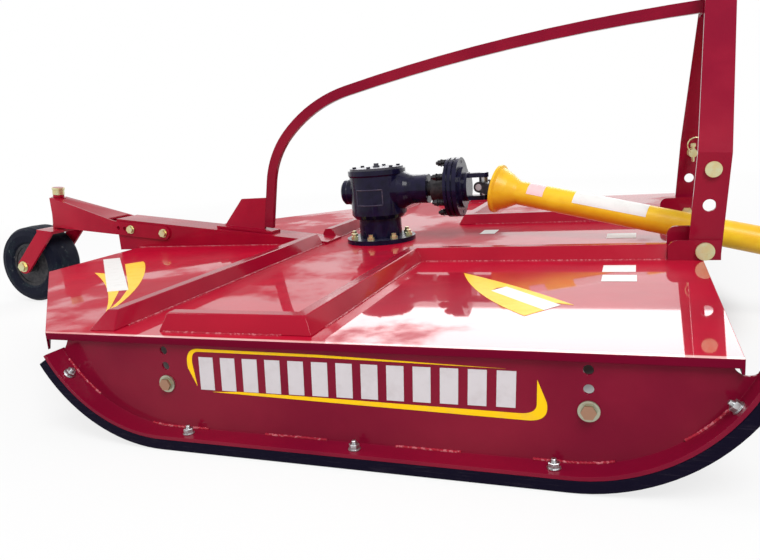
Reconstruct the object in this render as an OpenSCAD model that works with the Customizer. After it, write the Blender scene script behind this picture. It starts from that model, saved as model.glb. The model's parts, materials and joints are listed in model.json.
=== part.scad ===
// Rotary brush cutter for a tractor's three-point hitch, parked on its skids.
// X points forward to the tractor, Y to the left, Z up; the ground is z = 0.
// Lengths along X are first counted from the gearbox axis; the drawn part is then
// moved so that the origin lies under the middle of its outline.

/* [Deck] */
// Gearbox axis to the front edge of the deck
deck_front = 1044; // [1000:1:1100]
// Gearbox axis to the rear edge of the deck
deck_rear = 1045; // [1010:1:1100]
// Width of the deck plate
deck_w = 2420; // [2300:10:2600]
// Length of the cut-off rear corners
deck_chamfer = 667; // [500:1:750]
// Height of the deck's upper face
deck_top = 239; // [228:1:290]
// Thickness of the deck plate
deck_t = 5; // [4:0.5:8]
// Depth of the turned-down rear lip
lip_rear_h = 40; // [20:1:60]
// Depth of the turned-down side lip
lip_side_h = 16; // [10:1:24]
// Depth of the turned-down front lip
lip_front_h = 26; // [16:1:27]

/* [Side panels and skids] */
// Overhang of the deck beyond the panel's outer face
panel_inset = 10; // [8:1:20]
// Thickness of the side panel
panel_t = 6; // [4:0.5:10]
// Distance of the panel's front end behind the deck's front edge
panel_back = 16; // [15:1:18]
// Rear end of the panel under the deck
panel_rear = -323; // [-360:1:-280]
// Radius of the rear run-up of the skid
skid_rear_r = 351; // [320:1:370]
// Where the rear run-up meets the ground
skid_rear_x = -64; // [-90:1:-40]
// Sweep of the rear run-up
skid_rear_a = 62; // [55:1:63]
// Radius of the front run-up of the skid
skid_front_r = 351; // [335:1:365]
// Distance behind the deck's front edge where the front run-up meets the ground
skid_front_back = 267; // [250:1:280]
// Sweep of the front run-up
skid_front_a = 65; // [55:1:66]
// Thickness of the bolted wear strip
wear_t = 24; // [16:1:32]
// Thickness of the skid flange
flange_t = 8; // [6:1:12]
// Width of the skid flange beyond the panel
flange_w = 50; // [40:1:75]
// Radius of the hollow at the panel's rear top corner
scallop_rear_r = 70; // [60:1:90]
// Radius of the hollow at the panel's front top corner
scallop_front_r = 23; // [22.5:0.1:23.5]
// Height of the bolt through the side panel
side_bolt_z = 132; // [120:1:145]
// Radius of the holes in the side panel
side_hole_r = 9; // [6:0.5:11]

/* [Stiffeners] */
// Height of the folded stiffeners
rib_h = 38; // [30:1:50]
// Width of a stiffener on the deck
rib_base = 70; // [60:1:90]
// Width of a stiffener along its top
rib_top = 30; // [24:1:40]
// Wall of a stiffener
rib_t = 5; // [4:0.5:8]
// Gearbox axis to each stiffener that crosses the deck
rib_cross_x = 242; // [220:1:280]
// Middle of the stiffeners that run to the mast
rib_mast_y = 377; // [360:1:390]
// Gap between the outer stiffener and the deck's side
rib_side_gap = 38; // [30:1:60]

/* [Mast] */
// Distance of the leg's outer face from the middle
leg_y = 411; // [405:1:425]
// Thickness of a mast leg
leg_t = 14; // [10:1:18]
// Width of a mast leg
leg_w = 80; // [70:1:100]
// Forward lean of the mast
mast_lean = 4.5; // [3:0.5:8]
// Inward lean of the upper legs
leg_bend = 36; // [35.5:0.1:38]
// Length of a leg from its pivot to the bend
leg_low = 251; // [240:1:270]
// Distance of the leg's pivot in front of the deck's front edge
pivot_ahead = 3; // [-12:1:6]
// Height of the leg's pivot over the deck
pivot_h = 24; // [20:1:30]
// Radius of the pivot bolt
pivot_r = 12; // [10:0.5:14]
// Spare hitch hole above the pivot
hole_h = 117; // [110:1:140]
// Hitch pin above the pivot
pin_h = 209; // [190:1:220]
// Radius of the lower hitch pin
pin_r = 14.2; // [13.9:0.1:14.4]
// Free length of the hitch pin inside the leg
pin_free = 62; // [56:1:70]
// Top link hole above the pivot
clevis_h = 790; // [785:1:810]
// Radius of the top link hole
clevis_r = 12.85; // [12.6:0.05:13]
// Gap between the top link plates
clevis_gap = 54; // [52:1:60]
// Thickness of an ear beside the leg
ear_t = 12; // [8:1:14]
// Reach of an ear behind the pivot
ear_rear = 89; // [70:1:95]
// Reach of an ear in front of the pivot
ear_front = 38; // [36:1:44]
// Height of the outer ear over the deck
ear_outer_h = 52; // [48:1:56]
// Height of the inner ear over the deck
ear_inner_h = 78; // [60:1:90]

/* [Brace] */
// Depth of the curved brace bar
brace_w = 36; // [30:1:44]
// Thickness of the brace bar
brace_t = 20; // [14:1:26]
// Brace bolt above the leg's pivot
brace_h = 655; // [645:1:660]
// Radius of the brace bolt
brace_bolt_r = 10; // [8:0.5:12]
// Radius of the brace's lower bend
brace_r1 = 320; // [280:5:360]
// Radius of the brace's upper bend
brace_r2 = 500; // [460:5:540]
// Radius of the long sweep to the mast
brace_r3 = 6350; // [6300:10:6450]

/* [Gearbox] */
// Radius of the mounting flange
gb_flange_r = 125; // [118:1:135]
// Thickness of the mounting flange
gb_flange_t = 16; // [12:1:22]
// Radius of the neck
gb_neck_r = 77; // [70:1:82]
// Height of the neck above the flange
gb_neck_h = 70; // [60:1:80]
// Radius of the gearbox body
gb_body_r = 100; // [96:1:106]
// Height of the gearbox body
gb_body_h = 172; // [165:1:190]
// Height of the input shaft over the deck
input_h = 181; // [176:1:186]
// Radius of the input snout
snout_r = 51; // [46:1:56]
// Gearbox axis to the end of the snout
snout_end = 193; // [185:1:200]
// Radius of the rear cap
cap_r = 45; // [40:1:50]

/* [Driveline] */
// Gearbox axis to the clutch's rear face
clutch_x = 268; // [255:1:272]
// Radius of the slip clutch
clutch_r = 102; // [95:1:110]
// Width of the slip clutch
clutch_w = 56; // [50:1:66]
// Gearbox axis to the first cross
cross_x = 388; // [384:1:400]
// Half the span of a cross
cross_half = 46; // [42:1:50]
// Radius of a cross pin
trunnion_r = 11; // [9:0.5:12]
// Radius of the guard tube
guard_r = 39.5; // [38:0.5:42]
// Radius of the tractor half's guard tube
guard_inner_r = 34; // [32:0.5:35]
// Wall of the guard tubes
guard_t = 4; // [3:0.5:4.5]
// Radius of the guard cone's rim
cone_r = 81; // [76:1:88]
// Length of a guard cone
cone_l = 88; // [80:1:100]
// Distance between the two crosses
shaft_l = 1100; // [1060:5:1200]
// Gap between the implement half's guard tube and the other half's collar
guard_gap = 102; // [96:1:130]
// Sideways angle at which the shaft lies on the deck edge
shaft_yaw = 11.4; // [6:0.1:11.4]
// Radius of the splined bore for the tractor's shaft
spline_r = 17.5; // [17.4:0.05:17.6]

/* [Rotor] */
// Radius of the cutting circle
rotor_r = 985; // [940:5:990]
// Distance from the rotor axis to a blade bolt
blade_pivot = 600; // [560:5:640]
// Height of the blade's lower face
blade_z = 66; // [55:1:75]
// Thickness of a blade
blade_t = 12; // [10:1:15]
// Width of a blade
blade_w = 100; // [80:5:110]
// Thickness of the blade carrier
carrier_t = 16; // [12:1:20]
// Width of the blade carrier
carrier_w = 120; // [110:5:140]
// Radius of the blade bolt
blade_bolt_r = 15; // [12:1:18]

/* [Tail] */
// Half the width of the tail beam
beam_half = 65; // [56:1:70]
// Gearbox axis to the beam's front tip
beam_front = -190; // [-200:1:-170]
// Overhang of the beam behind the deck
beam_over = 95; // [80:1:110]
// Height of the beam's rear end over the deck
beam_rise = 121; // [110:1:130]
// Depth of the beam's rear end under the deck face
beam_drop = 8; // [6:1:20]
// Wall of the tail beam
beam_t = 6; // [5:0.5:8]
// Wall of the arm bolted to the beam
arm_t = 8; // [6:0.5:10]
// Half the depth of the arm along the beam
arm_half = 28; // [26:1:30]
// Gearbox axis to the arm's front bolt
arm_bolt_x = -908; // [-920:1:-895]
// Spacing of the arm's two bolts
arm_bolt_gap = 158; // [140:1:170]
// Gearbox axis to the foot of the kingpin sleeve
king_x = -1510; // [-1530:1:-1500]
// Height of the foot of the kingpin sleeve
king_z = 325; // [320:1:332]
// Forward lean of the kingpin
king_lean = 8; // [4:0.5:10]
// Radius of the kingpin
king_r = 20; // [16:0.5:22]
// Length of the kingpin sleeve
sleeve_l = 133; // [125:1:140]
// Distance of the wheel axle behind the kingpin
trail = 122; // [120:1:135]
// Radius of the tail wheel
wheel_r = 168; // [162:1:168]
// Width of the tail wheel's tyre
tyre_w = 144; // [130:1:146]
// Radius of the wheel disc under the tyre
disc_r = 96; // [85:1:105]
// Radius of the wheel axle
axle_r = 12; // [10:0.5:14]
// Thickness of the fork bar
fork_t = 12; // [10:1:14]
// Distance of the fork arm's inner face from the middle
fork_in = 88; // [86:1:92]

/* [Hidden] */

// Fineness of plain round faces
$fn = 48;
// Seating gap between pieces that only touch
seat = 0.3;
// Running clearance of a pin in its bore
run = 0.05;
// Amount by which a cutter passes a face
over = 1;
// Length that is longer than the whole part
far = 3000;

half_w = deck_w / 2;
deck_low = deck_top - deck_t;
panel_out = half_w - panel_inset;
panel_in = panel_out - panel_t;
strip_out = panel_out + flange_w;
panel_low = wear_t + flange_t;
panel_front = deck_front - panel_back;
skid_front_x = deck_front - skid_front_back;
side_bolt_x = [skid_rear_x - 2, skid_front_x + 31];
side_holes = [0, 39, 74];
input_z = deck_top + input_h;
pivot_x = deck_front + pivot_ahead;
pivot_z = deck_top + pivot_h;
cross_z = input_z;

// Pitch at which the guard tube lies on the deck's front edge
edge_run = (deck_front - cross_x) / cos(shaft_yaw);
edge_drop = cross_z - deck_top;
edge_len = norm([edge_run, edge_drop]);
shaft_pitch = acos((guard_r + 2 * seat) / edge_len) - atan2(edge_run, edge_drop);
shaft_dir = [cos(shaft_pitch) * cos(shaft_yaw), -cos(shaft_pitch) * sin(shaft_yaw), -sin(shaft_pitch)];

// Tractor yoke beyond the front cross
yoke_l = 124;
yoke_r = 33;

// Wheel centre in the kingpin's own frame, so that the tyre stands on the ground
wheel_drop = (king_z - wheel_r + trail * sin(king_lean)) / cos(king_lean);
wheel_x = king_x - trail * cos(king_lean) - wheel_drop * sin(king_lean);

// Middle of the outline along X
front_reach = cross_x + (shaft_l + yoke_l) * shaft_dir[0] + yoke_r * sqrt(1 - pow(shaft_dir[0], 2));
rear_reach = wheel_x - wheel_r;
mid_x = (front_reach + rear_reach) / 2;

// Draws its children in the part's frame
module placed() translate([-mid_x, 0, 0]) children();

// Turns a shape drawn in X and Z into a plate that starts at y and is t thick
module upright(y, t) translate([0, y + t, 0]) rotate([90, 0, 0]) linear_extrude(t) children();

// Cylinder along Y from y0 to y1
module bar_y(r, x, z, y0, y1) translate([x, y0, z]) rotate([-90, 0, 0]) cylinder(r = r, h = y1 - y0);

// Cylinder along X from x0 to x1
module bar_x(r, x0, x1, z) translate([x0, 0, z]) rotate([0, 90, 0]) cylinder(r = r, h = x1 - x0);

// Both sides of the machine
module both() {
    children();
    mirror([0, 1, 0]) children();
}

// Outline of the deck, drawn in by d
function deck_outline(d) = let (x = deck_rear - d, y = half_w - d, k = deck_chamfer - d * (2 - sqrt(2)))
    [[deck_front - d, -y], [deck_front - d, y], [k - x, y], [-x, y - k], [-x, k - y], [k - x, -y]];

// Turned-down rim of the deck between two stations along X
module lip(x0, x1, h) intersection() {
    translate([0, 0, deck_top - h]) linear_extrude(h) difference() {
        polygon(deck_outline(0));
        polygon(deck_outline(deck_t));
    }
    translate([x0, -far / 2, 0]) cube([x1 - x0, far, far]);
}

module deck() color("crimson") placed() difference() {
    union() {
        translate([0, 0, deck_low]) linear_extrude(deck_t) polygon(deck_outline(0));
        lip(-deck_rear - over, deck_chamfer - deck_rear, lip_rear_h);
        lip(deck_chamfer - deck_rear, deck_front - deck_t, lip_side_h);
        lip(deck_front - deck_t, deck_front + over, lip_front_h);
    }
    cylinder(r = gb_neck_r + seat, h = far);
}

// Area above the skid's lower curve, drawn in by d
module skid_area(d) {
    translate([skid_rear_x, skid_rear_r]) circle(r = skid_rear_r - d, $fn = 96);
    translate([skid_front_x, skid_front_r]) circle(r = skid_front_r - d, $fn = 96);
    translate([skid_rear_x, d]) square([skid_front_x - skid_rear_x, skid_rear_r - d]);
}

// Band between two depths of the skid, cut at the ends of its run-ups
module skid_band(d0, d1, trim) {
    tip_r = [skid_rear_x, skid_rear_r] - far * [sin(skid_rear_a - trim), cos(skid_rear_a - trim)];
    tip_f = [skid_front_x, skid_front_r] + far * [sin(skid_front_a - trim), -cos(skid_front_a - trim)];
    intersection() {
        difference() {
            skid_area(d0);
            skid_area(d1);
        }
        polygon([[skid_rear_x, skid_rear_r], tip_r, [tip_r[0], -far], [tip_f[0], -far], tip_f,
            [skid_front_x, skid_front_r]]);
    }
}

// Ends of the panel's lower edge, just short of the flange's ends
panel_tip_r = [skid_rear_x, skid_rear_r]
    - (skid_rear_r - panel_low) * [sin(skid_rear_a - 1), cos(skid_rear_a - 1)];
panel_tip_f = [skid_front_x, skid_front_r]
    + (skid_front_r - panel_low) * [sin(skid_front_a - 1), -cos(skid_front_a - 1)];

// Centre of a circle of radius r through p and q, on the left of the way from p to q
function arc_centre(p, q, r) = let (m = (p + q) / 2, d = q - p, k = sqrt(r * r - d * d / 4) / norm(d))
    m + k * [-d[1], d[0]];

module side_panel() color("crimson") placed() {
    difference() {
        upright(-panel_out, panel_t) difference() {
            intersection() {
                skid_area(panel_low - flange_t / 2);
                translate([panel_tip_r[0] - 3, 0]) square([panel_tip_f[0] - panel_tip_r[0] + 6, deck_low]);
            }
            translate(arc_centre(panel_tip_r, [panel_rear, deck_low], scallop_rear_r))
                circle(r = scallop_rear_r);
            translate(arc_centre([panel_front, deck_low], panel_tip_f, scallop_front_r))
                circle(r = scallop_front_r);
        }
        for (x = side_bolt_x, dz = side_holes)
            bar_y(side_hole_r, x, side_bolt_z + dz, -panel_out - over, -panel_in + over);
    }
    upright(-strip_out, flange_w + panel_t) skid_band(wear_t, panel_low, 0);
}
module side_panel_right() side_panel();
module side_panel_left() mirror([0, 1, 0]) side_panel();

module wear_strip() color("black") placed()
    upright(-strip_out, flange_w + panel_t) skid_band(0, wear_t, 1.5);
module wear_strip_right() wear_strip();
module wear_strip_left() mirror([0, 1, 0]) wear_strip();

// Section of a folded stiffener, open underneath
module rib_section() polygon([[-rib_base / 2, 0], [-rib_top / 2, rib_h], [rib_top / 2, rib_h],
    [rib_base / 2, 0], [rib_base / 2 - rib_t, 0], [rib_top / 2 - rib_t / 2, rib_h - rib_t],
    [rib_t / 2 - rib_top / 2, rib_h - rib_t], [rib_t - rib_base / 2, 0]]);

// One run of stiffener from a to b, its ends cut at the angles m0 and m1
module rib(a, b, m0, m1) translate([a[0], a[1], deck_top]) rotate([0, 0, atan2(b[1] - a[1], b[0] - a[0])])
    difference() {
        translate([-rib_base, 0, 0]) rotate([90, 0, 90]) linear_extrude(norm(b - a) + 2 * rib_base)
            rib_section();
        rotate([0, 0, m0]) translate([-far, -far / 2, -over]) cube([far, far, far]);
        translate([norm(b - a), 0, 0]) rotate([0, 0, m1]) translate([0, -far / 2, -over]) cube([far, far, far]);
    }

// Corners of the folded run from the deck's side to the mast foot
rib_side_y = half_w - rib_side_gap - rib_base / 2;
rib_mast_x = pivot_x - ear_rear;

module stiffener() color("crimson") placed() {
    rib([-rib_cross_x / 3, -rib_side_y], [rib_cross_x, -rib_side_y], 0, 45);
    rib([rib_cross_x, -rib_side_y], [rib_cross_x, -rib_mast_y], 45, -45);
    rib([rib_cross_x, -rib_mast_y], [rib_mast_x, -rib_mast_y], -45, 0);
}
module stiffener_right() stiffener();
module stiffener_left() mirror([0, 1, 0]) stiffener();

module rear_stiffeners() color("crimson") placed() both()
    rib([-rib_cross_x, -rib_side_y], [-rib_cross_x, -beam_half - seat], 0, 0);

// Bolt with a round head or washer outside and a nut inside, along Y
module side_bolt(r, head_r, x, z, y0, y1) {
    bar_y(r, x, z, y0 - 2, y1 + 14);
    bar_y(head_r, x, z, y0 - 4, y0);
    translate([x, y0 - 4, z]) rotate([90, 0, 0]) cylinder(r = r * 1.7, h = r, $fn = 6);
    translate([x, y1, z]) rotate([-90, 0, 0]) cylinder(r = r * 1.7, h = r * 0.9, $fn = 6);
}

module side_bolts() color("silver") placed() both() for (x = side_bolt_x)
    side_bolt(side_hole_r - 1, 19, x, side_bolt_z, -panel_out, -panel_in);

// Profile of an ear with its rear top corner rounded
module ear_shape(h) difference() {
    translate([rib_mast_x, deck_top]) square([ear_rear + ear_front, h]);
    translate([rib_mast_x - over, deck_top + h - ear_round + over]) difference() {
        square(ear_round);
        translate([ear_round + over, -over]) circle(r = ear_round);
    }
}
ear_round = 22;
ear_out_y = leg_y + seat;
ear_in_y = rib_mast_y - rib_base / 2 - ear_t;

module mast_ears() color("crimson") placed() both() difference() {
    union() {
        upright(-ear_out_y - ear_t, ear_t) ear_shape(ear_outer_h);
        upright(-ear_in_y - ear_t, ear_t) ear_shape(ear_inner_h);
    }
    bar_y(pivot_r + run, pivot_x, pivot_z, -far, 0);
}

// Puts its children at the leg's pivot, leaning with the mast
module at_mast() placed() translate([pivot_x, 0, pivot_z]) rotate([0, mast_lean, 0]) children();

clevis_in = clevis_gap / 2;
clevis_out = clevis_in + leg_t;
leg_foot = pivot_h - 4;
leg_in_y = leg_y - leg_t;
leg_in_low = leg_low - leg_t * tan(leg_bend / 2);

// The leg is bent inward and meets the top link plate
module mast_leg() color("crimson") at_mast() difference() {
    translate([-leg_w / 2, 0, 0]) rotate([90, 0, 90]) linear_extrude(leg_w) polygon([
        [-leg_y, -leg_foot], [-leg_in_y, -leg_foot], [-leg_in_y, leg_in_low],
        [-clevis_out, leg_in_low + (leg_in_y - clevis_out) / tan(leg_bend)],
        [-clevis_out, leg_low + (leg_y - clevis_out) / tan(leg_bend)], [-leg_y, leg_low]]);
    for (h = [0, hole_h, pin_h])
        bar_y((h == 0 ? pivot_r : pin_seat_r) + run, 0, h, -leg_y - over, -leg_y + leg_t + over);
}
module mast_leg_right() mast_leg();
module mast_leg_left() mirror([0, 1, 0]) mast_leg();

module leg_pivot_bolts() color("goldenrod") placed() both() {
    bar_y(pivot_r, pivot_x, pivot_z, -ear_out_y - ear_t - 2, -ear_in_y + 12);
    bar_y(23, pivot_x, pivot_z, -ear_out_y - ear_t - 10, -ear_out_y - ear_t);
    translate([pivot_x, -ear_in_y, pivot_z]) rotate([-90, 0, 0]) cylinder(r = 20, h = 11, $fn = 6);
}

// The pin is thicker where it sits in the leg, and its free end has a hole for a lynch pin
pin_seat_r = pin_r + 1.5;
lynch_r = 5.2;
pin_end = leg_in_y - pin_free - 3 * lynch_r;
module hitch_pin() color("goldenrod") at_mast() difference() {
    union() {
        bar_y(pin_r, 0, pin_h, -leg_in_y - over, -pin_end);
        bar_y(pin_seat_r, 0, pin_h, -leg_y - over, -leg_in_y);
        bar_y(20, 0, pin_h, -leg_y - 10, -leg_y);
    }
    translate([0, -pin_end - 1.5 * lynch_r, pin_h - far / 2]) cylinder(r = lynch_r, h = far);
}
module hitch_pin_right() hitch_pin();
module hitch_pin_left() mirror([0, 1, 0]) hitch_pin();

clevis_low = brace_h - 30;
module top_link_plates() color("crimson") at_mast() both() difference() {
    upright(-clevis_out, leg_t) {
        translate([-leg_w / 2, clevis_low]) square([leg_w, clevis_h - clevis_low]);
        translate([0, clevis_h]) circle(r = leg_w / 2);
    }
    bar_y(clevis_r, 0, clevis_h, -far, far);
    bar_y(brace_bolt_r + run, brace_u, brace_h, -far, far);
}

// Top of the tail beam at a station along X
beam_rear = -deck_rear - beam_over;
beam_tip_h = 8;
beam_slope = (beam_rise - beam_tip_h) / (beam_front - beam_rear);
function beam_top(x) = deck_top + beam_tip_h + (beam_front - x) * beam_slope;

// Eye of the brace in the mast's frame and in X and Z
brace_u = -3;
brace_eye = [pivot_x + brace_u * cos(mast_lean) + brace_h * sin(mast_lean),
    pivot_z - brace_u * sin(mast_lean) + brace_h * cos(mast_lean)];

// Headings of the brace: straight foot, two bends and the long sweep to the mast
brace_a = [80, 45, 12, 1.2];
brace_r = [brace_r1, brace_r2, brace_r3];
function sweep(r, a0, a1) = r * [sin(a0) - sin(a1), cos(a1) - cos(a0)];
brace_foot_dir = [cos(brace_a[0]), sin(brace_a[0])];
// Each bend's first point
brace_p2 = brace_eye - sweep(brace_r[2], brace_a[2], brace_a[3]);
brace_p1 = brace_p2 - sweep(brace_r[1], brace_a[1], brace_a[2]);
brace_p0 = brace_p1 - sweep(brace_r[0], brace_a[0], brace_a[1]);
brace_p = [brace_p0, brace_p1, brace_p2];
// The straight foot ends over the bracket's base plate
bracket_base = 10;
brace_foot = (brace_p0[1] - beam_top(brace_p0[0]) - bracket_base - brace_w / 4)
    / (brace_foot_dir[1] + brace_foot_dir[0] * beam_slope);
brace_start = brace_p0 - brace_foot * brace_foot_dir;
brace_steps = 10;
// One edge of the bar, at the distance w to the left of its middle line
function brace_edge(w) = concat(
    [brace_start + w * [-brace_foot_dir[1], brace_foot_dir[0]]],
    [for (i = [0:2], k = [0:brace_steps]) let (a = brace_a[i] + (brace_a[i + 1] - brace_a[i]) * k / brace_steps)
        brace_p[i] + sweep(brace_r[i], brace_a[i], a) + w * [-sin(a), cos(a)]]);
function backwards(list) = [for (i = [len(list) - 1:-1:0]) list[i]];

module brace_bar() color("crimson") placed() difference() {
    union() {
        upright(-brace_t / 2, brace_t)
            polygon(concat(brace_edge(brace_w / 2), backwards(brace_edge(-brace_w / 2))));
        bar_y(brace_w / 2 + 3, brace_eye[0], brace_eye[1], seat - clevis_in, clevis_in - seat);
    }
    bar_y(brace_bolt_r + run, brace_eye[0], brace_eye[1], -far, far);
}

module brace_bolt() color("goldenrod") placed() {
    bar_y(brace_bolt_r, brace_eye[0], brace_eye[1], -clevis_out - 14, clevis_out + 12);
    translate([brace_eye[0], -clevis_out, brace_eye[1]]) rotate([90, 0, 0]) cylinder(r = 17, h = 10, $fn = 6);
    translate([brace_eye[0], clevis_out, brace_eye[1]]) rotate([-90, 0, 0]) cylinder(r = 17, h = 10, $fn = 6);
}

bracket_l = 200;
bracket_t = 12;
bracket_h = 134;
bracket_top = 92;
module brace_bracket() color("crimson") placed() {
    front = brace_start[0] + brace_w / 2 + 8;
    rear = brace_start[0] - brace_w / 2 - bracket_l;
    bar_face = brace_start - brace_w / 2 * [brace_foot_dir[1], -brace_foot_dir[0]];
    top = beam_top(brace_start[0]) + bracket_h;
    lean = brace_foot_dir[0] / brace_foot_dir[1];
    upright(-bracket_t / 2, bracket_t) polygon([[rear + 20, beam_top(rear + 20) + bracket_base],
        [bar_face[0] - lean * (bar_face[1] - beam_top(bar_face[0]) - bracket_base),
            beam_top(bar_face[0]) + bracket_base],
        [bar_face[0] + lean * (top - bar_face[1]), top], [bar_face[0] - bracket_top, top]]);
    upright(-35, 70) polygon([[rear, beam_top(rear)], [front, beam_top(front)],
        [front, beam_top(front) + bracket_base], [rear, beam_top(rear) + bracket_base]]);
}

module gearbox_base() color("midnightblue") placed() {
    translate([0, 0, deck_top]) difference() {
        cylinder(r = gb_flange_r, h = gb_flange_t, $fn = 96);
        for (a = gb_bolt_angles) rotate([0, 0, a]) translate([gb_bolt_c, 0, -over])
            cylinder(r = 8, h = gb_flange_t + 2 * over);
    }
    translate([0, 0, deck_low - 20]) cylinder(r = gb_neck_r, h = gb_neck_h + gb_flange_t + deck_t + 20);
}
gb_bolt_c = 106;
gb_bolt_angles = [0:45:315];
gb_body_z = deck_top + gb_flange_t + gb_neck_h;
gb_lid_z = gb_body_z + gb_body_h;

module gearbox_body() color("midnightblue") placed() {
    translate([0, 0, gb_body_z]) rotate_extrude($fn = 96) polygon([[0, 0], [gb_body_r - 12, 0],
        [gb_body_r, 14], [gb_body_r, gb_body_h - 22], [gb_body_r + 4, gb_body_h - 16],
        [gb_body_r + 4, gb_body_h], [0, gb_body_h]]);
    translate([0, 0, input_z]) rotate([0, 90, 0]) rotate_extrude() polygon([[0, 0], [snout_r + 23, 0],
        [snout_r + 21, gb_body_r - 8], [snout_r + 9, gb_body_r + 12], [snout_r + 3, gb_body_r + 26],
        [snout_r, gb_body_r + 40], [snout_r, snout_end], [0, snout_end]]);
    translate([0, 0, input_z]) rotate([0, -90, 0]) rotate_extrude() polygon([[0, 0], [cap_r + 8, 0],
        [cap_r + 2, gb_body_r + 6], [cap_r, gb_body_r + 10], [cap_r, gb_body_r + 24],
        [cap_r - 6, gb_body_r + 30], [0, gb_body_r + 30]]);
}

lid_t = 8;
module gearbox_cover() color("silver") placed() translate([0, 0, gb_lid_z]) {
    cylinder(r = gb_body_r - 4, h = lid_t, $fn = 96);
    translate([0, 0, lid_t]) cylinder(r = 13, h = 6, $fn = 6);
    translate([0, 0, lid_t]) cylinder(r = 9, h = 14);
}

module gearbox_bolts() color("goldenrod") placed() {
    for (a = gb_bolt_angles) rotate([0, 0, a]) translate([gb_bolt_c, 0, 0]) {
        translate([0, 0, deck_top + gb_flange_t]) cylinder(r = 13, h = 11, $fn = 6);
        translate([0, 0, deck_top + seat]) cylinder(r = 7.9, h = gb_flange_t + 20);
    }
    for (a = [0:60:300]) rotate([0, 0, a + 30]) translate([gb_body_r - 20, 0, gb_lid_z + lid_t])
        cylinder(r = 7, h = 6, $fn = 6);
}

module input_hub() color("dimgray") placed() {
    bar_x(26, snout_end, snout_end + 16, input_z);
    bar_x(48, snout_end + 16, clutch_x, input_z);
}

clutch_front = clutch_x + clutch_w;
clutch_n = 6;
clutch_bolt_c = clutch_r - 16;
// Slip clutch: outer plates, friction discs between them and a spring plate
clutch_layers = [[0, 12, 1], [12, 20, 0.93], [20, 32, 1], [32, 40, 0.93], [40, 56, 1], [56, 70, 0.7]];
module slip_clutch() color("midnightblue") placed() difference() {
    for (s = clutch_layers)
        bar_x(clutch_r * s[2], clutch_x + clutch_w * s[0] / 70, clutch_x + clutch_w * s[1] / 70, input_z);
    for (a = [1:clutch_n]) translate([clutch_x - over, 0, input_z]) rotate([a * 360 / clutch_n, 0, 0])
        translate([0, 0, clutch_bolt_c]) rotate([0, 90, 0]) cylinder(r = 6.2, h = clutch_w);
}

module clutch_bolts() color("black") placed()
    for (a = [1:clutch_n]) translate([clutch_x, 0, input_z]) rotate([a * 360 / clutch_n, 0, 0])
        translate([0, 0, clutch_bolt_c]) rotate([0, -90, 0]) {
            translate([0, 0, -clutch_w * 56 / 70]) cylinder(r = 6, h = clutch_w * 56 / 70 + 44);
            cylinder(r = 11, h = 24);
            translate([0, 0, 24]) cylinder(r = 13, h = 3);
            translate([0, 0, 27]) cylinder(r = 11, h = 11, $fn = 6);
        }

// Yoke of a universal joint: base at -l along X, its two ears along Z round the cross
ear_half = 18;
ear_thick = 15;
module yoke(l, base_r) difference() {
    union() {
        translate([-l, 0, 0]) rotate([0, 90, 0]) cylinder(r = base_r, h = 14);
        for (s = [-1, 1]) translate([0, 0, s * (cross_half - ear_thick / 2)]) {
            translate([-l + 2, -ear_half, -ear_thick / 2]) cube([l - 2, 2 * ear_half, ear_thick]);
            translate([0, 0, -ear_thick / 2]) cylinder(r = ear_half, h = ear_thick);
        }
    }
    translate([0, 0, -far / 2]) cylinder(r = trunnion_r + run, h = far);
}

// Cross of a universal joint: pins along Y and Z
module cross() {
    for (a = [0, 90]) rotate([a, 0, 0]) {
        translate([0, 0, -cross_half]) cylinder(r = trunnion_r, h = 2 * cross_half);
        translate([0, 0, 1 - cross_half + ear_thick]) cylinder(r = 15, h = 2 * (cross_half - ear_thick - 1));
    }
    sphere(r = 19);
}

module clutch_yoke() color("midnightblue") placed() translate([cross_x, 0, cross_z])
    yoke(cross_x - clutch_front, 50);

module rear_cross() color("silver") placed() translate([cross_x, 0, cross_z]) rotate([0, 0, -shaft_yaw]) cross();

// Puts its children at a distance along the shaft
module on_shaft(s) placed() translate([cross_x, 0, cross_z]) rotate([0, shaft_pitch, -shaft_yaw])
    translate([s, 0, 0]) children();

tube_r = 27;
bar_r = 22;
yoke_foot = 62;
// The implement half carries the outer tube
module rear_shaft() color("dimgray") on_shaft(0) {
    rotate([90, 0, 0]) mirror([1, 0, 0]) yoke(yoke_foot, 36);
    rotate([0, 90, 0]) difference() {
        translate([0, 0, yoke_foot - 2]) cylinder(r = tube_r, h = cone_end + guard_l - yoke_foot - 8);
        translate([0, 0, yoke_foot + 40]) cylinder(r = bar_r + seat, h = far);
    }
}

cone_start = 50;
cone_end = cone_start + cone_l;
guard_l = shaft_l - 2 * cone_end + 10 - guard_gap;
// Section of a guard cone and its collar, drawn as radius and length along the shaft
module cone_section(r) polygon([[cone_r, 0], [cone_r, 8], [cone_r - 9, 14], [r + 22, 46],
    [r + 10, cone_l - 22], [r + 4, cone_l - 10], [r + 4, cone_l + 14], [r, cone_l + 14], [r, cone_l - 12],
    [r + 6, cone_l - 24], [r + 18, 44], [cone_r - 13, 12], [cone_r - 4, 6], [cone_r - 4, 0]]);

module rear_guard() color("gold") on_shaft(0) rotate([0, 90, 0]) rotate_extrude($fn = 72) {
    translate([0, cone_start]) cone_section(guard_r - guard_t);
    translate([guard_r - guard_t, cone_end]) square([guard_t, guard_l]);
    translate([tube_r + seat, cone_end - 6]) square([guard_r - guard_t - tube_r - seat, 6]);
}

// The tractor half: bar, yoke and narrower guard, which slide in the implement half
bar_in = 0.57 * guard_l;
module front_shaft() color("dimgray") on_shaft(shaft_l) {
    rotate([90, 0, 0]) yoke(yoke_foot, 36);
    rotate([0, -90, 0]) translate([0, 0, yoke_foot - 2])
        cylinder(r = bar_r, h = shaft_l - cone_end - guard_l + bar_in - yoke_foot);
}

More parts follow.
